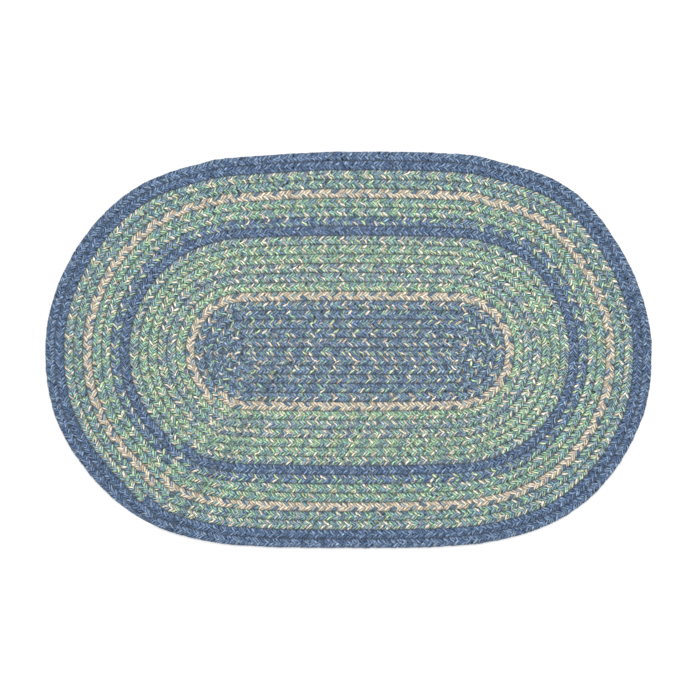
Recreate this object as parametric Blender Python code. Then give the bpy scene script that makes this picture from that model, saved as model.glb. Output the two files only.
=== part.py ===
"""Oval braided rug: one three-strand braid coiled from the middle outwards and laced edge to edge.

The braid's rows stand as ridges on both faces, with the spiral valley of the lacing between them.
Metres, +Z up, +X along the rug. The origin is at the middle of the underside.
"""

import math

import bmesh
import bpy

# Driving sizes
LENGTH = 0.9144              # 36 inches, end to end
WIDTH = 0.5988               # side to side
THICKNESS = 0.008            # the flat braid, crown to crown
TURNS = 21                   # full turns of braid around the centre braid
PITCH = WIDTH / (2 * TURNS + 1)   # width of one row of braid
VALLEY = 0.0025              # how far the laced valley lies below the crowns, on each face
BOW = 0.0070                 # how much the two long sides bow outwards
LEAST_BOW = 0.002            # the share of it that even the innermost row has
CROWN = (0.25, 0.75)         # where the flat crown starts and ends across a row
FULL_RIDGE = 0.8             # a row narrower than this share of the pitch stands lower

# Hand-made unevenness
COIL_DRIFT = (0.003, -0.003)  # how far the start of the coil lies off the middle of the rug
STEP_LENGTH = 0.040          # run of braid on each side of the step, where a turn moves out a row

# Steps of the mesh around one turn, anticlockwise from the step at the lower left
END_STEPS = 18               # around each round end
SIDE_STEPS = 3               # along each long side
STEP_AT = 15                 # the step's place, in steps from the top of the left end
STEP_BEFORE = 8              # most steps that a turn takes to move half a row out before it
STEP_AFTER = END_STEPS - STEP_AT  # and after it
TAIL_STEPS = 1               # the braid's tail, tapering out past the last step
TURN_STEPS = 2 * (END_STEPS + SIDE_STEPS)

HALF_WIDTH = WIDTH / 2
FOCUS = (LENGTH - WIDTH) / 2  # half the length of the centre braid

# How far the rug's edge lies out from a true oval, as laid by hand
EDGE_WANDER = (
    # bearing in degrees, metres outwards
    (0, 0.0000),
    (20, -0.0034),
    (30, -0.0037),
    (55, 0.0035),
    (77, -0.0023),
    (86, 0.0020),
    (90, -0.0004),
    (94, -0.0030),
    (104, -0.0060),
    (125, -0.0025),
    (147, -0.0034),
    (180, 0.0000),
    (200, 0.0026),
    (220, 0.0009),
    (240, 0.0023),
    (260, -0.0003),
    (266, 0.0013),
    (270, -0.0006),
    (274, 0.0018),
    (280, 0.0010),
    (310, 0.0070),
    (340, 0.0043),
    (360, 0.0000),
)

DYES = {
    # name of the mix of yarns: its sRGB colour from a step away, roughness
    "denim_blue": ((0.40, 0.47, 0.57), 0.95),
    "blue_mix": ((0.51, 0.56, 0.60), 0.95),
    "teal_mix": ((0.56, 0.63, 0.61), 0.95),
    "green_mix": ((0.59, 0.66, 0.62), 0.95),
    "cream_mix": ((0.72, 0.69, 0.64), 0.97),
}

ROW_DYES = (
    # the centre braid, then each turn outwards
    "blue_mix", "blue_mix", "blue_mix", "blue_mix", "blue_mix", "blue_mix",
    "cream_mix", "green_mix", "teal_mix", "teal_mix", "green_mix", "green_mix",
    "teal_mix", "denim_blue", "blue_mix", "green_mix", "green_mix",
    "cream_mix", "teal_mix", "teal_mix", "denim_blue", "denim_blue",
)


def clear_scene():
    for obj in list(bpy.data.objects):
        bpy.data.objects.remove(obj, do_unlink=True)


def edge_wander(bearing):
    """Metres outwards at a bearing, eased from one row of EDGE_WANDER to the next."""
    degrees = math.degrees(bearing) % 360
    for (start, before), (end, after) in zip(EDGE_WANDER, EDGE_WANDER[1:]):
        if degrees <= end:
            part = (degrees - start) / (end - start)
            return before + (after - before) * (1 - math.cos(math.pi * part)) / 2
    return 0.0


def oval_arcs(reach):
    """The four arcs of the oval that lies reach out from the centre line, from the left end.

    They meet where the outward normal's bearing is lean, measured from the rug's long axis.
    """
    bow = BOW * max(reach / HALF_WIDTH, LEAST_BOW)
    end_x = FOCUS + bow
    end_radius = max(reach - bow, 0.0)
    side_y = FOCUS * (FOCUS + 2 * bow) / (2 * bow)
    lean = math.atan2(side_y, end_x)
    side_span = math.pi - 2 * lean
    return (
        # centre x, centre y, radius, first bearing, span of bearings, steps
        (-end_x, 0.0, end_radius, math.pi - lean, 2 * lean, END_STEPS),
        (0.0, side_y, side_y + reach, math.pi + lean, side_span, SIDE_STEPS),
        (end_x, 0.0, end_radius, -lean, 2 * lean, END_STEPS),
        (0.0, -side_y, side_y + reach, lean, side_span, SIDE_STEPS),
    )


def place(station, reach):
    """The point at a station around the turn, reach out from the centre line."""
    step = (station + STEP_AT) % TURN_STEPS
    for x, y, radius, first, span, steps in oval_arcs(reach):
        if step < steps:
            break
        step -= steps
    bearing = first + span * step / steps
    share = reach / HALF_WIDTH
    radius += edge_wander(bearing) * share * share
    x += radius * math.cos(bearing) + COIL_DRIFT[0] * (1 - share)
    y += radius * math.sin(bearing) + COIL_DRIFT[1] * (1 - share)
    return x, y


def step_over(station, reach):
    """How far a turn has moved out of its own row, from -0.5 at its start to 0.5 at its end."""
    run = STEP_LENGTH * END_STEPS / (math.pi * max(reach, PITCH))
    before = min(max(run, 1), STEP_BEFORE)
    after = min(max(run, 1), STEP_AFTER)
    if station < after:
        return 0.5 * station / after - 0.5
    if station > TURN_STEPS - before:
        return 0.5 - 0.5 * (TURN_STEPS - station) / before
    return 0.0


def valley_point(index):
    """A point on the spiral valley. The rug's edge trims it, which tapers the braid's tail."""
    turn, station = divmod(index, TURN_STEPS)
    reach = PITCH * (turn + 0.5)
    reach += PITCH * step_over(station, reach)
    return place(station, min(reach, HALF_WIDTH))


def braid_sections():
    """(inner, outer) valley points of each section, along the braid from its start to its tail."""
    tip = STEP_AFTER + SIDE_STEPS + END_STEPS // 2
    straight = [(tip - k, tip + k) for k in range(tip - STEP_AFTER + 1)]
    first_bend = [
        (round(STEP_AFTER * (STEP_AT - k) / STEP_AT), TURN_STEPS - STEP_AT + k)
        for k in range(1, STEP_AT)
    ]
    coil_steps = TURNS * TURN_STEPS + TAIL_STEPS
    coil = [(index, index + TURN_STEPS) for index in range(coil_steps + 1)]
    return straight + first_bend + coil


def add_pair(bm, point, rise):
    """Two corners at one place, one on each face, rise out from the floor of the valley."""
    middle = THICKNESS / 2
    half = middle - VALLEY + rise
    return [bm.verts.new((*point, middle + half)), bm.verts.new((*point, middle - half))]


def add_face(bm, corners, dye):
    """A face without the corners that it repeats, where the first bend turns on one point."""
    corners = list(dict.fromkeys(corners))
    if len(corners) > 2:
        bm.faces.new(corners).material_index = dye


def add_step(bm, here, there, dye):
    """The upper face and the underside of one step of braid, between two sections of it."""
    for k in range(len(here) - 1):
        upper, lower = zip(here[k], here[k + 1], there[k + 1], there[k])
        add_face(bm, upper, dye)
        add_face(bm, lower[::-1], dye)


def build_braid():
    bm = bmesh.new()
    sections = braid_sections()
    last = sections[-1][1]
    points = [valley_point(index) for index in range(last + 1)]
    valleys = [add_pair(bm, point, 0.0) for point in points]

    # The braid is a loft: each section runs from valley to valley over its flat crown
    ridges = []
    for inner, outer in sections:
        (x0, y0), (x1, y1) = points[inner], points[outer]
        width = math.hypot(x1 - x0, y1 - y0)
        rise = VALLEY * min(width / (FULL_RIDGE * PITCH), 1.0)
        shoulders = [
            add_pair(bm, (x0 + (x1 - x0) * part, y0 + (y1 - y0) * part), rise)
            for part in CROWN
        ]
        ridges.append([valleys[inner], *shoulders, valleys[outer]])

    dyes = list(DYES)
    for (_, outer), here, there in zip(sections, ridges, ridges[1:]):
        turn = min(outer // TURN_STEPS, TURNS)
        add_step(bm, here, there, dyes.index(ROW_DYES[turn]))

    # The rug's outer edge, from the tail all the way round
    for index in range(last - TURN_STEPS, last):
        here, there = valleys[index], valleys[index + 1]
        add_face(bm, (here[1], there[1], there[0], here[0]), dyes.index(ROW_DYES[-1]))

    # Both ends of the braid narrow to nothing, and their sections close up here
    bmesh.ops.remove_doubles(bm, verts=bm.verts, dist=0.00001)
    bmesh.ops.recalc_face_normals(bm, faces=bm.faces)
    mesh = bpy.data.meshes.new("braided_rug")
    bm.to_mesh(mesh)
    bm.free()
    mesh.shade_smooth()
    mesh.set_sharp_from_angle(angle=math.radians(60))
    return mesh


def linear(channel):
    if channel <= 0.04045:
        return channel / 12.92
    return ((channel + 0.055) / 1.055) ** 2.4


def dyed_jute(name):
    colour, roughness = DYES[name]
    material = bpy.data.materials.new("dyed_jute_" + name)
    material.use_nodes = True
    shader = material.node_tree.nodes["Principled BSDF"]
    shader.inputs["Base Color"].default_value = (*map(linear, colour), 1.0)
    shader.inputs["Roughness"].default_value = roughness
    shader.inputs["Metallic"].default_value = 0.0
    return material


def main():
    clear_scene()
    collection = bpy.data.collections.new("Braided rug")
    bpy.context.scene.collection.children.link(collection)
    rug = bpy.data.objects.new("braided_rug", build_braid())
    for name in DYES:
        rug.data.materials.append(dyed_jute(name))
    collection.objects.link(rug)


main()
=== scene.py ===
"""Looks of the oval braided rug: its plaited rounds of dyed jute, their lacing, floor, light and camera.

Metres, +Z up, +X along the rug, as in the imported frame.
"""

import math
import random

import bpy
import numpy as np
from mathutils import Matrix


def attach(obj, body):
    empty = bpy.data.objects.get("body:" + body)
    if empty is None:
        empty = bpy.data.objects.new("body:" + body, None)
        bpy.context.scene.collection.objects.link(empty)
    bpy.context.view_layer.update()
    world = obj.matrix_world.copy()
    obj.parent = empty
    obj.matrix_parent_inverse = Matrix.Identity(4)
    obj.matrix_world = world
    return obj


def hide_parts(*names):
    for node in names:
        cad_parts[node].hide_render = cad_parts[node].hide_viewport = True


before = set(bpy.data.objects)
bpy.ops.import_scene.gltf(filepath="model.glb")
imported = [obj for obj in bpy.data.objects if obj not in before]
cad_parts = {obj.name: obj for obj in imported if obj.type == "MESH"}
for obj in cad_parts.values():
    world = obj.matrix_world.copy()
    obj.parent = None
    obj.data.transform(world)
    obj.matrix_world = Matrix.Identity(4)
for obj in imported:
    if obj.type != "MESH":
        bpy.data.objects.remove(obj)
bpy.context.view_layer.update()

TAU = 2 * math.pi

# The coil, as in the part's source
LENGTH = 0.9144
WIDTH = 0.5988
THICKNESS = 0.008
TURNS = 21
PITCH = WIDTH / (2 * TURNS + 1)
BOW = 0.0070
LEAST_BOW = 0.002
COIL_DRIFT = (0.003, -0.003)
STEP_LENGTH = 0.040
END_STEPS = 18
SIDE_STEPS = 3
STEP_AT = 15
STEP_BEFORE = 8
STEP_AFTER = END_STEPS - STEP_AT
TURN_STEPS = 2 * (END_STEPS + SIDE_STEPS)
HALF_WIDTH = WIDTH / 2
FOCUS = (LENGTH - WIDTH) / 2

EDGE_WANDER = (
    # bearing in degrees, metres outwards
    (0, 0.0000),
    (20, -0.0034),
    (30, -0.0037),
    (55, 0.0035),
    (77, -0.0023),
    (86, 0.0020),
    (90, -0.0004),
    (94, -0.0030),
    (104, -0.0060),
    (125, -0.0025),
    (147, -0.0034),
    (180, 0.0000),
    (200, 0.0026),
    (220, 0.0009),
    (240, 0.0023),
    (260, -0.0003),
    (266, 0.0013),
    (270, -0.0006),
    (274, 0.0018),
    (280, 0.0010),
    (310, 0.0070),
    (340, 0.0043),
    (360, 0.0000),
)

# The plait: three flat strands, each a bundle of yarns, which fold over at the braid's edges
REPEAT = 0.0296              # run of braid in which a strand goes across and back
SWING = 0.0050               # how far a strand's middle goes to each side
STRAIGHTEN = 0.11            # how much straighter than a sine wave a strand goes across
LIFT = 0.0021                # how far it goes above and below the braid's middle
STRAND = (0.0032, 0.0018)    # half the width and height of a strand
LEAN = 0.66                  # the angle between a strand and its braid, in radians
FOLD = (0.28, 0.72)          # where its fold starts and ends, as shares of its way across
FULLER = 0.14                # how much fuller it is there than between its folds
SIDES = 6                    # of a strand's section
# Sections of a strand, in degrees of its way: close together in both folds
SECTIONS = (0, 60, 75, 90, 105, 120, 180, 240, 255, 270, 285, 300)
STEPS = len(SECTIONS)
YARNS = 4                    # around each strand, plump and soft
WINDING = 1.6                # how many turns they may wander around it
DOUBLES_GAP = 0.00002        # points of a strand nearer than this are one point

# The maps of a round
RING_GAP = 0.0005            # kept clear at both ends of the way around a strand, as a share of it
CELL_INSET = 0.02            # bare edge of a cell of the bake map, as a share of it
CAPS = 6                     # one at each end of each strand, side by side in the last cell
CAP_REACH = (0.07, 0.3)      # from a cap's middle to its edges there, as shares of the cell
CAP_YARNS = (0.3, 0.1)       # its middle and its reach across the first strand's yarns

# An uneven hand: how far a strand strays, and how long the waves are in metres, slow ones first
FULLER_WAVES = ((0.09, 0.045), (0.10, 0.013))      # in shares of its size
SLID_WAVES = ((0.0009, 0.060), (0.0007, 0.017))    # in metres along the braid
SWAYED_WAVES = ((0.0003, 0.080), (0.0004, 0.019))  # in metres across it
FLATTER = 0.08               # how much flatter than even the plait may lie, as a share
FLATTER_WAVE = 0.033         # the length of its waves
EVEN_END = 0.02              # run at each end of a round, in which the strands start to stray
HAND_SEED = 400              # of the random draws, to which a turn's number is added

# The rounds' paths
PATH_POINTS = 2000           # worked out around a turn, before they are thinned
PATH_GAP = 0.0025            # between two points of a round's path
TIP = 0.7 * PITCH            # how far the centre braid's blunt tip lies past the coil's focus
TIP_SHARE = 0.35             # of the braid's full width, at that tip
TIP_TAPER = 0.016            # run in which a braid would widen from nothing to its full width
STRAIGHT_POINTS = 600        # worked out from the tip to the tight bend
BEND_POINTS = 60             # and around this bend
BEND_SHARE = 0.95            # of the braid's full width, in the bend
FIRST_STATION = 3.055        # where the first round takes over from the bend
TAIL_STATION = TURN_STEPS + 0.8   # where the tail ends, a tenth as wide as the braid

# The lacing, as a thin dark web: partly the thread, partly painted shade deep in the seams
LACING_POINTS = 168          # around its edge
LACING_INSET = 0.35          # how far in from the rug's edge it ends, in rows of braid
TAIL_INSET = 0.45            # how much further in beside the tail, which is thinner
TAIL_REACH = 2.5             # stations to each side of the step, where that fades out
LACING_THICKNESS = 0.0008
LACING_RIM = 0.03            # width of its outer ring of faces

YARN_COLOURS = {
    "N": "#506685",  # navy
    "B": "#6d83a0",  # denim blue
    "M": "#5d7186",  # dull navy
    "D": "#798c9f",  # dusk blue
    "S": "#94a3ab",  # pale slate
    "T": "#7a9a9e",  # slate teal
    "G": "#90b39a",  # sea green
    "L": "#b0c19c",  # sage lime
    "K": "#d5cab6",  # dull cream
    "C": "#cec6b7",  # natural cream
    "P": "#bcae9c",  # tan
}

ROUNDS = (
    # name, then the dyes of each strand's yarns: two that show mostly in the inner half of the
    # braid, and two that show mostly in its outer half
    ("centre", "BLMT", "BCDM", "BGSM"),
    ("blue_01", "BCTM", "SBPD", "DBTM"),
    ("blue_02", "BTLM", "DCBD", "BMSB"),
    ("blue_03", "MTBL", "BSPB", "BTDM"),
    ("blue_04", "BDTC", "SBMB", "BGMM"),
    ("blue_05", "BTCM", "GBSM", "PDBT"),
    ("cream_06", "KKKP", "KPKK", "KSMT"),
    ("green_07", "GLGT", "TGCG", "GLCD"),
    ("teal_08", "TCTG", "GSDD", "CGST"),
    ("mix_09", "CTSG", "TGCD", "SLCM"),
    ("green_10", "GLTC", "GCGD", "TLGG"),
    ("green_11", "GLTG", "LTGC", "GCGD"),
    ("mix_12", "CTGD", "SGCM", "TLSD"),
    ("denim_13", "BNDB", "NBNB", "BMNB"),
    ("blue_14", "BLBN", "DBMG", "BTBC"),
    ("green_15", "GCTD", "CTGL", "GTSG"),
    ("green_16", "GLTG", "CGDT", "GTGP"),
    ("cream_17", "KKKP", "KPKK", "KSMT"),
    ("teal_18", "TGDT", "GMTS", "CTLT"),
    ("teal_19", "CTDG", "LSTC", "TGCD"),
    ("denim_20", "BNNB", "NBBN", "BNBN"),
    ("denim_21", "BBNB", "BNDB", "NBBN"),
)


def edge_wander(bearing):
    """Metres outwards at a bearing, eased from one row of EDGE_WANDER to the next."""
    degrees = math.degrees(bearing) % 360
    for (start, before), (end, after) in zip(EDGE_WANDER, EDGE_WANDER[1:]):
        if degrees <= end:
            part = (degrees - start) / (end - start)
            return before + (after - before) * (1 - math.cos(math.pi * part)) / 2
    return 0.0


def oval_arcs(reach):
    """The four arcs of the oval that lies reach out from the centre line, from the left end."""
    bow = BOW * max(reach / HALF_WIDTH, LEAST_BOW)
    end_x = FOCUS + bow
    end_radius = max(reach - bow, 0.0)
    side_y = FOCUS * (FOCUS + 2 * bow) / (2 * bow)
    lean = math.atan2(side_y, end_x)
    side_span = math.pi - 2 * lean
    return (
        # centre x, centre y, radius, first bearing, span of bearings, steps
        (-end_x, 0.0, end_radius, math.pi - lean, 2 * lean, END_STEPS),
        (0.0, side_y, side_y + reach, math.pi + lean, side_span, SIDE_STEPS),
        (end_x, 0.0, end_radius, -lean, 2 * lean, END_STEPS),
        (0.0, -side_y, side_y + reach, lean, side_span, SIDE_STEPS),
    )


def place(station, reach):
    """The point at a station around the turn, reach out from the centre line."""
    step = (station + STEP_AT) % TURN_STEPS
    for x, y, radius, first, span, steps in oval_arcs(reach):
        if step < steps:
            break
        step -= steps
    bearing = first + span * step / steps
    share = reach / HALF_WIDTH
    radius += edge_wander(bearing) * share * share
    x += radius * math.cos(bearing) + COIL_DRIFT[0] * (1 - share)
    y += radius * math.sin(bearing) + COIL_DRIFT[1] * (1 - share)
    return x, y


def step_over(station, reach):
    """How far a turn has moved out of its own row, from -0.5 at its start to 0.5 at its end."""
    run = STEP_LENGTH * END_STEPS / (math.pi * max(reach, PITCH))
    before = min(max(run, 1), STEP_BEFORE)
    after = min(max(run, 1), STEP_AFTER)
    if station < after:
        return -0.25 * (1 + math.cos(math.pi * station / after))
    if station > TURN_STEPS - before:
        return 0.25 * (1 + math.cos(math.pi * (TURN_STEPS - station) / before))
    return 0.0


def row_point(turn, station):
    """(x, y, share of the full width) of the middle of a turn's row, which the rug's edge trims."""
    if station > TURN_STEPS:
        return row_point(turn + 1, station - TURN_STEPS)
    reaches = []
    for valley in (turn - 0.5, turn + 0.5):
        reach = PITCH * valley
        reaches.append(min(reach + PITCH * step_over(station, reach), HALF_WIDTH))
    inner, outer = reaches
    x, y = place(station, (inner + outer) / 2)
    return x, y, (outer - inner) / PITCH


def thinned(points):
    """The points without those nearer than PATH_GAP to the last one kept, ends included."""
    kept = [points[0]]
    for point in points[1:-1]:
        if math.dist(point[:2], kept[-1][:2]) > PATH_GAP:
            kept.append(point)
    if math.dist(kept[-1][:2], points[-1][:2]) < PATH_GAP / 2:
        kept.pop()
    return kept + [points[-1]]


def turn_path(turn):
    """The path of a turn, from its step to the next, as row_point gives its points."""
    first = FIRST_STATION if turn == 1 else 0.0
    last = TAIL_STATION if turn == TURNS else TURN_STEPS
    stations = [first + (last - first) * k / PATH_POINTS for k in range(PATH_POINTS + 1)]
    return thinned([row_point(turn, station) for station in stations])


def centre_path():
    """The centre braid's path: in from the right tip, then its tight bend into the first round."""
    bend_x, end_y, _ = row_point(1, FIRST_STATION)
    radius = (COIL_DRIFT[1] - end_y) / 2
    tip_x = FOCUS + COIL_DRIFT[0] + TIP
    points = []
    run = tip_x - bend_x
    for k in range(STRAIGHT_POINTS + 1):
        x = tip_x - run * k / STRAIGHT_POINTS
        points.append((x, COIL_DRIFT[1], min(TIP_SHARE + (tip_x - x) / TIP_TAPER, 1.0)))
    for k in range(1, BEND_POINTS + 1):
        bearing = math.pi * (0.5 + k / BEND_POINTS)
        x = bend_x + radius * math.cos(bearing)
        points.append((x, COIL_DRIFT[1] - radius + radius * math.sin(bearing), BEND_SHARE))
    return thinned(points)


def strand_middle(phase, start):
    """Middle of a strand at a phase of its way. start is its phase where the repeat begins."""
    along = REPEAT * (phase - start) / TAU
    reach = SWING / (1 + STRAIGHTEN)
    across = reach * (math.sin(phase) - STRAIGHTEN * math.sin(3 * phase))
    return along, across, -LIFT * math.sin(2 * phase)


def strand_roll(phase):
    """How far a strand has folded over: half a turn at one edge of the braid, and back at the other."""
    share = abs((phase + math.pi) % TAU - math.pi) / math.pi
    part = min(max((share - FOLD[0]) / (FOLD[1] - FOLD[0]), 0.0), 1.0)
    return math.pi * (part * part * (3 - 2 * part) - 1)


def strand_fullness(phase):
    """The size of a strand's section at a phase of its way, as a share: fuller in the folds."""
    part = max(2 * abs(math.sin(phase)) - 1, 0.0)
    return 1 + FULLER * part * part * (3 - 2 * part)


def strand_phases(strand):
    """The phases of a strand's sections over one repeat of the plait, both ends included."""
    start = 120 * strand
    phases = [degrees for degrees in SECTIONS if degrees >= start]
    phases += [degrees + 360 for degrees in SECTIONS if degrees < start]
    return [math.radians(degrees) for degrees in (*phases, start + 360)]


def select_only(piece):
    bpy.ops.object.select_all(action="DESELECT")
    piece.select_set(True)
    bpy.context.view_layer.objects.active = piece


def extrude_strand(strand):
    """Extrudes the selected ring of a strand section by section over one repeat of the plait."""
    start, *phases = strand_phases(strand)
    middle = strand_middle(start, start)
    roll = strand_roll(start)
    fullness = strand_fullness(start)
    size = (1, STRAND[0] * fullness, STRAND[1] * fullness)
    bpy.ops.transform.resize(value=size, center_override=middle)
    bpy.ops.transform.rotate(value=LEAN, orient_axis="Z", center_override=middle)
    bpy.ops.transform.rotate(value=-roll, orient_axis="X", center_override=middle)
    for phase in phases:
        there = strand_middle(phase, start)
        move = [b - a for a, b in zip(middle, there)]
        bpy.ops.mesh.extrude_region_move(TRANSFORM_OT_translate={"value": move})
        turn = roll - strand_roll(phase)
        if turn:
            bpy.ops.transform.rotate(value=turn, orient_axis="X", center_override=there)
        growth = strand_fullness(phase) / fullness
        bpy.ops.transform.resize(value=(growth, growth, growth), center_override=there)
        middle = there
        roll -= turn
        fullness *= growth


def model_plait():
    """One repeat of the three-strand plait, along +X from the origin."""
    for strand in range(3):
        start = strand_phases(strand)[0]
        if strand:
            bpy.ops.mesh.select_all(action="DESELECT")
        bpy.ops.mesh.primitive_circle_add(
            vertices=SIDES, radius=1.0, location=strand_middle(start, start),
            rotation=(0, math.pi / 2, 0),
        )
        if not strand:
            bpy.ops.object.transform_apply(location=True, rotation=True, scale=True)
            bpy.ops.object.mode_set(mode="EDIT")
        extrude_strand(strand)
    bpy.ops.object.mode_set(mode="OBJECT")
    plait = bpy.context.object
    plait.name = plait.data.name = "plait_repeat"
    return plait


def section_places():
    """Where the points of a strand's section lie around it, from 0 to 1, by true length."""
    angles = [TAU * k / SIDES for k in range(SIDES + 1)]
    points = [(STRAND[0] * math.cos(a), STRAND[1] * math.sin(a)) for a in angles]
    lengths = [math.dist(a, b) for a, b in zip(points, points[1:])]
    return np.concatenate([[0.0], np.cumsum(lengths)]) / sum(lengths)


def add_maps(piece, repeats, repeat):
    """Maps the strands twice, while they are still straight and their points in order.

    Yarns is metres along, and the strand's number plus the place around it.
    OFBake is a square of cells, one for each repeat of a strand and the last for the end caps.
    """
    mesh = piece.data
    corners = np.empty(len(mesh.loops), np.int32)
    mesh.loops.foreach_get("vertex_index", corners)
    corners = corners.reshape(-1, 4)
    ring = (STEPS + 1) * SIDES
    copy, rest = np.divmod(corners, 3 * ring)
    strand, rest = np.divmod(rest, ring)
    step, side = np.divmod(rest, SIDES)
    # The face that closes the ring ends where a full turn ends, and not at 0
    wraps = (side.max(axis=1) - side.min(axis=1) > SIDES / 2)[:, None]
    side = np.where(wraps & (side == 0), SIDES, side)
    # Kept just inside 0 to 1, because the whole number is the strand's
    around = section_places()[side] * (1 - 2 * RING_GAP) + RING_GAP
    phases = np.array([strand_phases(number) for number in range(3)])
    step_place = ((phases - phases[:, :1]) / TAU)[strand, step]
    along = (copy + step_place) * repeat

    yarns = mesh.uv_layers.new(name="Yarns")
    yarns.data.foreach_set("uv", np.stack([along, strand + around], -1).astype(np.float32).ravel())

    grid = math.ceil(math.sqrt(3 * repeats + 1))
    row, column = np.divmod(copy * 3 + strand, grid)
    u = (column + CELL_INSET + (1 - 2 * CELL_INSET) * step_place) / grid
    v = (row + CELL_INSET + (1 - 2 * CELL_INSET) * around) / grid
    bake = mesh.uv_layers.new(name="OFBake")
    bake.data.foreach_set("uv", np.stack([u, v], -1).astype(np.float32).ravel())


def waves(rng, along, length):
    """A slow random line from -1 to 1 whose waves are about length long."""
    total = np.zeros_like(along)
    for part in (1.0, 0.63, 0.41):
        total += np.sin(TAU * (along / (length * part) + rng.random()))
    return total / 3


def wander(rng, along, parts):
    """The sum of some random lines, each given by how far it goes and how long its waves are."""
    return sum(far * waves(rng, along, length) for far, length in parts)


def make_uneven(piece, turn, repeats, length):
    """Moves the strands as an uneven hand leaves them, fading out at both ends of the round."""
    mesh = piece.data
    points = np.empty(len(mesh.vertices) * 3, np.float32)
    mesh.vertices.foreach_get("co", points)
    points = points.reshape(repeats, 3, STEPS + 1, SIDES, 3).astype(np.float64)
    rng = random.Random(HAND_SEED + turn)
    middle = points.mean(axis=3, keepdims=True)
    for strand in range(3):
        along = middle[:, strand, ..., 0]
        fade = np.clip(along / EVEN_END, 0, 1) * np.clip((length - along) / EVEN_END, 0, 1)
        fuller = 1 + fade * wander(rng, along, FULLER_WAVES)
        offset = points[:, strand] - middle[:, strand]
        moved = middle[:, strand].copy()
        moved[..., 0] += fade * wander(rng, along, SLID_WAVES)
        moved[..., 1] += fade * wander(rng, along, SWAYED_WAVES)
        moved[..., 2] *= 1 - FLATTER * fade * (1 + waves(rng, along, FLATTER_WAVE)) / 2
        points[:, strand] = moved + offset * fuller[..., None]
    mesh.vertices.foreach_set("co", points.astype(np.float32).ravel())
    mesh.update()


def lay_path(name, path):
    """The round's middle line, as a curve that narrows and sinks where the braid tapers."""
    curve = bpy.data.curves.new(name, "CURVE")
    curve.dimensions = "3D"
    curve.twist_mode = "Z_UP"
    spline = curve.splines.new("POLY")
    spline.points.add(len(path) - 1)
    for point, (x, y, share) in zip(spline.points, path):
        point.co = (x, y, THICKNESS / 2 * share, 1.0)
        point.radius = share
    guide = bpy.data.objects.new(name, curve)
    bpy.context.scene.collection.objects.link(guide)
    return guide


def apply_modifier(piece, name, kind, **settings):
    modifier = piece.modifiers.new(name, kind)
    for key, value in settings.items():
        setattr(modifier, key, value)
    bpy.ops.object.modifier_apply(modifier=modifier.name)


def close_strands(piece):
    """Merges the repeats' rings, closes the strands' ends and maps these caps to the last cell."""
    mesh = piece.data
    faces = len(mesh.polygons)
    bpy.ops.object.mode_set(mode="EDIT")
    bpy.ops.mesh.select_all(action="SELECT")
    bpy.ops.mesh.remove_doubles(threshold=DOUBLES_GAP)
    bpy.ops.mesh.select_all(action="SELECT")
    bpy.ops.mesh.fill_holes(sides=0)
    bpy.ops.mesh.select_all(action="SELECT")
    bpy.ops.mesh.normals_make_consistent(inside=False)
    bpy.ops.object.mode_set(mode="OBJECT")
    bake = mesh.uv_layers["OFBake"].data
    yarns = mesh.uv_layers["Yarns"].data
    grid = math.ceil(math.sqrt(faces / (STEPS * SIDES) + 1))
    for cap in range(faces, len(mesh.polygons)):
        loops = mesh.polygons[cap].loop_indices
        column = grid - 1 + (cap - faces + 0.5) / CAPS
        for k, loop in enumerate(loops):
            angle = TAU * k / len(loops)
            u = (column + CAP_REACH[0] * math.cos(angle)) / grid
            v = (grid - 0.5 + CAP_REACH[1] * math.sin(angle)) / grid
            bake[loop].uv = (u, v)
            yarns[loop].uv = (0.0, CAP_YARNS[0] + CAP_YARNS[1] * math.sin(angle))
    bpy.ops.object.shade_smooth_by_angle(angle=math.radians(60))


def braid_round(plait, turn, name, path):
    """One round of the rug, from one step to the next: whole repeats of the plait along its path."""
    length = sum(math.dist(a[:2], b[:2]) for a, b in zip(path, path[1:]))
    repeats = round(length / REPEAT)
    repeat = length / repeats
    mesh = plait.data.copy()
    mesh.name = name
    piece = bpy.data.objects.new(name, mesh)
    bpy.context.scene.collection.objects.link(piece)
    select_only(piece)
    bpy.ops.object.mode_set(mode="EDIT")
    bpy.ops.mesh.select_all(action="SELECT")
    bpy.ops.transform.resize(value=(repeat / REPEAT, 1, 1), center_override=(0, 0, 0))
    bpy.ops.object.mode_set(mode="OBJECT")
    apply_modifier(
        piece, "Repeats", "ARRAY", count=repeats, use_relative_offset=False,
        use_constant_offset=True, constant_offset_displace=(repeat, 0, 0),
    )
    add_maps(piece, repeats, repeat)
    make_uneven(piece, turn, repeats, length)
    guide = lay_path(name + "_path", path)
    apply_modifier(piece, "Coil", "CURVE", object=guide, deform_axis="POS_X")
    bpy.data.objects.remove(guide, do_unlink=True)
    close_strands(piece)
    return piece, repeat


def linear(code):
    """The linear colour of an sRGB hex colour."""
    channels = [int(code[k:k + 2], 16) / 255 for k in (1, 3, 5)]
    return [c / 12.92 if c <= 0.04045 else ((c + 0.055) / 1.055) ** 2.4 for c in channels]


def add_node(tree, kind, inputs=None, **settings):
    """Adds a node with its settings, and fills its inputs with values or other nodes' outputs."""
    node = tree.nodes.new("ShaderNode" + kind)
    for key, value in settings.items():
        setattr(node, key, value)
    for key, value in (inputs or {}).items():
        if isinstance(value, bpy.types.Node):
            value = value.outputs[0]
        if isinstance(value, bpy.types.NodeSocket):
            tree.links.new(value, node.inputs[key])
        else:
            node.inputs[key].default_value = value
    return node


def new_material(name):
    material = bpy.data.materials.new(name)
    material.use_nodes = True
    tree = material.node_tree
    return material, tree, tree.nodes["Principled BSDF"]


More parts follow.
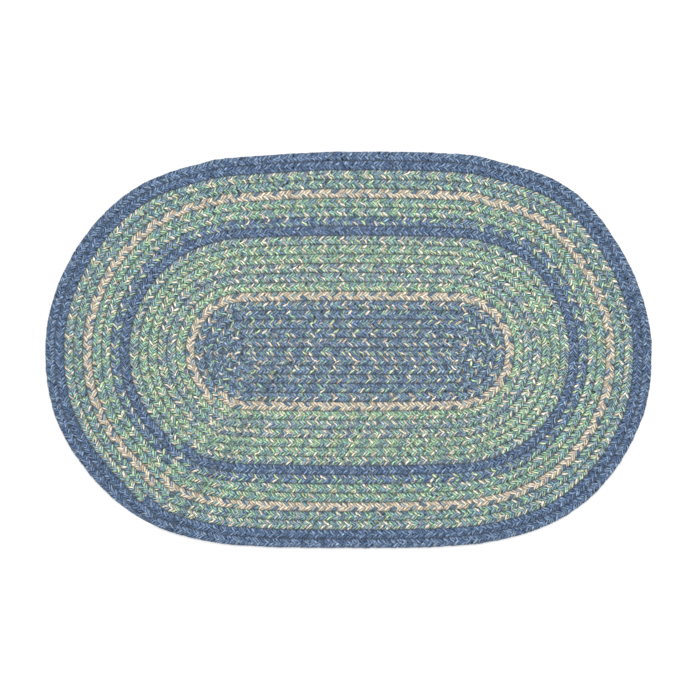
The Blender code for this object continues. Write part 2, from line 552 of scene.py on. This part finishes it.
def dyed_jute(name, strands, repeat):
    """Spun jute yarn, dyed in the skein: matt, streaky, hairy, its colour uneven along each yarn."""
    material, tree, shader = new_material("dyed_jute_" + name)
    uv = add_node(tree, "UVMap", uv_map="Yarns")
    split = add_node(tree, "SeparateXYZ", {"Vector": uv})
    along, strand_place = split.outputs["X"], split.outputs["Y"]
    strand = add_node(tree, "Math", {0: strand_place}, operation="FLOOR")

    # The yarns wind slowly round their strand, to and fro over about 120 mm
    strand_spot = add_node(tree, "CombineXYZ", {"X": along, "Y": strand})
    slow_spot = add_node(
        tree, "VectorMath", {0: strand_spot, 1: (8.0, 7.3, 0.0)}, operation="MULTIPLY"
    )
    winding = add_node(
        tree, "TexNoise", {"Vector": slow_spot, "Scale": 1.0, "Detail": 3.0},
        noise_dimensions="2D",
    )
    drift = add_node(
        tree, "Math", {0: winding, 1: WINDING, 2: -WINDING / 2}, operation="MULTIPLY_ADD"
    )
    turned = add_node(tree, "Math", {0: strand_place, 1: drift}, operation="ADD")
    around = add_node(tree, "Math", {0: turned}, operation="FRACT")
    yarn_place = add_node(tree, "Math", {0: around, 1: YARNS}, operation="MULTIPLY")
    across = add_node(tree, "Math", {0: yarn_place}, operation="FRACT")
    yarn = add_node(tree, "Math", {0: yarn_place}, operation="FLOOR")
    yarn = add_node(tree, "Math", {0: strand, 1: YARNS, 2: yarn}, operation="MULTIPLY_ADD")

    # A dye for each yarn
    letters = "".join(strands)
    skein = add_node(tree, "Math", {0: yarn, 1: 0.5}, operation="ADD")
    skein = add_node(tree, "Math", {0: skein, 1: len(letters)}, operation="DIVIDE")
    ramp = add_node(tree, "ValToRGB", {"Fac": skein})
    ramp.color_ramp.interpolation = "CONSTANT"
    stops = ramp.color_ramp.elements
    stops.remove(stops[1])
    stops[0].color = (*linear(YARN_COLOURS[letters[0]]), 1.0)
    for k in range(1, len(letters)):
        if letters[k] != letters[k - 1]:
            stops.new(k / len(letters)).color = (*linear(YARN_COLOURS[letters[k]]), 1.0)

    # Dye takes unevenly: patches about 15 mm long on each yarn
    yarn_spot = add_node(tree, "CombineXYZ", {"X": along, "Y": yarn})
    patch_spot = add_node(
        tree, "VectorMath", {0: yarn_spot, 1: (65.0, 5.7, 0.0)}, operation="MULTIPLY"
    )
    patches = add_node(
        tree, "TexNoise", {"Vector": patch_spot, "Scale": 1.0, "Detail": 2.0},
        noise_dimensions="2D",
    )
    # Spun thick and thin: streaks about 4 mm long and 0.7 mm across, partly the yarn's own uneven tone
    # and partly painted highlight and painted shade
    streak_spot = add_node(
        tree, "VectorMath", {0: uv, 1: (240.0, 25.0, 0.0)}, operation="MULTIPLY"
    )
    streaks = add_node(
        tree, "TexNoise", {"Vector": streak_spot, "Scale": 1.0, "Detail": 0.0},
        noise_dimensions="2D",
    )
    # Fibres 0.25 mm across and 3 mm long: real ones are finer, and wouldn't show in the render
    fibre_spot = add_node(
        tree, "VectorMath", {0: uv, 1: (330.0, 66.0, 0.0)}, operation="MULTIPLY"
    )
    fibres = add_node(
        tree, "TexNoise", {"Vector": fibre_spot, "Scale": 1.0, "Detail": 2.0},
        noise_dimensions="2D",
    )
    # Each yarn is round: painted shade where it meets the next one, and a painted highlight along its
    # top
    arc = add_node(tree, "Math", {0: across, 1: math.pi}, operation="MULTIPLY")
    profile = add_node(tree, "Math", {0: arc}, operation="SINE")
    yarn_painted_light = add_node(
        tree, "MapRange",
        {"Value": profile, "From Min": 0.1, "From Max": 0.75, "To Min": 0.3, "To Max": 1.13},
        interpolation_type="SMOOTHSTEP",
    )
    # A strand lies in shade where it dives under the others, and deeper in the seams
    way = add_node(tree, "Math", {0: along, 1: TAU / repeat}, operation="MULTIPLY")
    way = add_node(tree, "Math", {0: strand, 1: TAU / 3, 2: way}, operation="MULTIPLY_ADD")
    swing = add_node(tree, "Math", {0: way}, operation="SINE")
    swing = add_node(tree, "Math", {0: swing}, operation="ABSOLUTE")
    seam = add_node(
        tree, "MapRange",
        {"Value": swing, "From Min": 0.95, "From Max": 1.0, "To Min": 1.0, "To Max": 0.7},
        interpolation_type="SMOOTHSTEP",
    )
    dive = add_node(
        tree, "MapRange",
        {"Value": swing, "From Min": 0.0, "From Max": 0.4, "To Min": 0.85, "To Max": 1.0},
        interpolation_type="SMOOTHSTEP",
    )
    # The yarn's own twist, a turn every 3 mm
    turns = add_node(tree, "Math", {0: across, 1: 4.0}, operation="MULTIPLY")
    turns = add_node(
        tree, "Math", {0: along, 1: TAU / 0.003, 2: turns}, operation="MULTIPLY_ADD"
    )
    twist = add_node(tree, "Math", {0: turns}, operation="SINE")

    # The yarns' edges and tops, the seams, the dives and part of the streaks are painted shade and
    # highlight on the dye; the patches, fibres and the rest of the streaks are its own uneven tone. The
    # streaks are fainter in the cream rounds
    patch_light = add_node(tree, "Math", {0: patches, 1: 0.5, 2: 0.65}, operation="MULTIPLY_ADD")
    fibre_light = add_node(tree, "Math", {0: fibres, 1: 1.1, 2: 0.45}, operation="MULTIPLY_ADD")
    contrast = 0.5 if "K" in letters else 1.0
    lightest, darkest = 1 + contrast, 1 - contrast
    streak_light = add_node(
        tree, "MapRange",
        {"Value": streaks, "From Min": 0.25, "From Max": 0.75, "To Min": darkest, "To Max": lightest},
    )
    light = yarn_painted_light
    for part in (seam, dive, patch_light, streak_light, fibre_light):
        light = add_node(tree, "Math", {0: light, 1: part}, operation="MULTIPLY")
    colour = add_node(tree, "VectorMath", {0: ramp, "Scale": light}, operation="SCALE")

    height = add_node(tree, "Math", {0: fibres, 1: 0.25, 2: profile}, operation="MULTIPLY_ADD")
    height = add_node(tree, "Math", {0: twist, 1: 0.12, 2: height}, operation="MULTIPLY_ADD")
    bump = add_node(tree, "Bump", {"Height": height, "Strength": 0.8, "Distance": 0.0005})
    tree.links.new(colour.outputs["Vector"], shader.inputs["Base Color"])
    tree.links.new(bump.outputs["Normal"], shader.inputs["Normal"])
    shader.inputs["Roughness"].default_value = 0.92
    shader.inputs["Specular IOR Level"].default_value = 0.25
    shader.inputs["Sheen Weight"].default_value = 0.12
    shader.inputs["Sheen Roughness"].default_value = 0.6
    return material


def jute_lacing_and_seam_shade():
    """Dyed jute thread, drawn tight between the rounds: a dark slate blue, partly its dye and partly
    painted shade of the deep seams and the holes of the plait.

    Its noise is a thread's light and shade, about 1.4 mm from one to the next.
    """
    material, tree, shader = new_material("jute_lacing_and_painted_seam_shade")
    place_on = add_node(tree, "TexCoord").outputs["Object"]
    thread = add_node(tree, "TexNoise", {"Vector": place_on, "Scale": 700.0, "Detail": 2.0})
    ramp = add_node(tree, "ValToRGB", {"Fac": thread})
    ramp.color_ramp.elements[0].color = (*linear("#39424f"), 1.0)
    ramp.color_ramp.elements[1].color = (*linear("#6a7480"), 1.0)
    bump = add_node(tree, "Bump", {"Height": thread, "Strength": 0.6, "Distance": 0.0003})
    tree.links.new(ramp.outputs["Color"], shader.inputs["Base Color"])
    tree.links.new(bump.outputs["Normal"], shader.inputs["Normal"])
    shader.inputs["Roughness"].default_value = 0.95
    shader.inputs["Specular IOR Level"].default_value = 0.2
    return material


def model_lacing_and_shade_web():
    """The lacing between the rounds, a thin dark web at mid height that closes the seams: partly the
    thread, partly a sheet of painted shade under the holes.
    """
    bpy.ops.object.select_all(action="DESELECT")
    bpy.ops.mesh.primitive_circle_add(
        vertices=LACING_POINTS, radius=HALF_WIDTH, fill_type="NGON",
        location=(0, 0, THICKNESS / 2),
    )
    web = bpy.context.object
    bpy.ops.object.transform_apply(location=True, rotation=True, scale=True)
    web.name = web.data.name = "seam_lacing_and_painted_shade"
    for k, vertex in enumerate(web.data.vertices):
        station = TURN_STEPS * k / LACING_POINTS
        beside_tail = max(0.0, 1 - min(station, TURN_STEPS - station) / TAIL_REACH)
        x, y = place(station, HALF_WIDTH - (LACING_INSET + TAIL_INSET * beside_tail) * PITCH)
        vertex.co = (x, y, THICKNESS / 2 + LACING_THICKNESS / 2)
    bpy.ops.object.mode_set(mode="EDIT")
    bpy.ops.mesh.select_all(action="SELECT")
    bpy.ops.mesh.inset(thickness=LACING_RIM)
    bpy.ops.mesh.select_all(action="SELECT")
    down = (0, 0, -LACING_THICKNESS)
    bpy.ops.mesh.extrude_region_move(TRANSFORM_OT_translate={"value": down})
    bpy.ops.mesh.select_all(action="SELECT")
    bpy.ops.mesh.normals_make_consistent(inside=False)
    bpy.ops.object.mode_set(mode="OBJECT")
    web.data.materials.append(jute_lacing_and_seam_shade())
    return web


def painted_floor():
    """Matt emulsion on a smooth floor: near white, no gloss, and the roller's grain of 1 mm."""
    material, tree, shader = new_material("matt_painted_floor")
    place_on = add_node(tree, "TexCoord").outputs["Object"]
    grain = add_node(tree, "TexNoise", {"Vector": place_on, "Scale": 900.0, "Detail": 2.0})
    bump = add_node(tree, "Bump", {"Height": grain, "Strength": 0.05, "Distance": 0.0005})
    tree.links.new(bump.outputs["Normal"], shader.inputs["Normal"])
    shader.inputs["Base Color"].default_value = (*linear("#f4f4f4"), 1.0)
    shader.inputs["Roughness"].default_value = 0.9
    return material


def add_floor():
    bpy.ops.object.select_all(action="DESELECT")
    bpy.ops.mesh.primitive_plane_add(size=6.0, location=(0, 0, 0))
    floor = bpy.context.object
    floor.name = "studio_floor"
    floor.data.materials.append(painted_floor())


def add_light(name, location, size, watts):
    light = bpy.data.lights.new(name, "AREA")
    light.shape = "SQUARE"
    light.size = size
    light.energy = watts
    lamp = bpy.data.objects.new(name, light)
    lamp.location = location
    lamp.rotation_euler = lamp.location.to_track_quat("Z", "Y").to_euler()
    bpy.context.scene.collection.objects.link(lamp)


def add_camera():
    """Straight above the rug, with the 85 mm view whose frame is 1.0555 m wide at the rug."""
    lens = bpy.data.cameras.new("above")
    lens.lens = 85.0
    lens.sensor_width = 36.0
    camera = bpy.data.objects.new("above", lens)
    camera.location = (0.0023, -0.0003, 2.496)
    bpy.context.scene.collection.objects.link(camera)
    bpy.context.scene.camera = camera


def light_studio():
    scene = bpy.context.scene
    scene.view_settings.view_transform = "Standard"
    scene.view_settings.look = "None"
    world = bpy.data.worlds.new("studio")
    scene.world = world
    world.use_nodes = True
    background = world.node_tree.nodes["Background"]
    background.inputs["Color"].default_value = (1.0, 1.0, 1.0, 1.0)
    background.inputs["Strength"].default_value = 0.75
    add_light("key", (0.0, 1.2, 2.3), 2.2, 48.0)
    add_light("fill", (0.4, -1.2, 2.4), 1.8, 18.0)


def build_rug():
    plait = model_plait()
    rounds = []
    for turn, (name, *strands) in enumerate(ROUNDS):
        path = turn_path(turn) if turn else centre_path()
        piece, repeat = braid_round(plait, turn, "round_" + name, path)
        piece.data.materials.append(dyed_jute(name, strands, repeat))
        rounds.append(piece)
    bpy.data.objects.remove(plait, do_unlink=True)
    lacing = model_lacing_and_shade_web()
    for piece in (*rounds, lacing):
        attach(piece, "root")
        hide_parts("braided_rug")


build_rug()
add_floor()
light_studio()
add_camera()
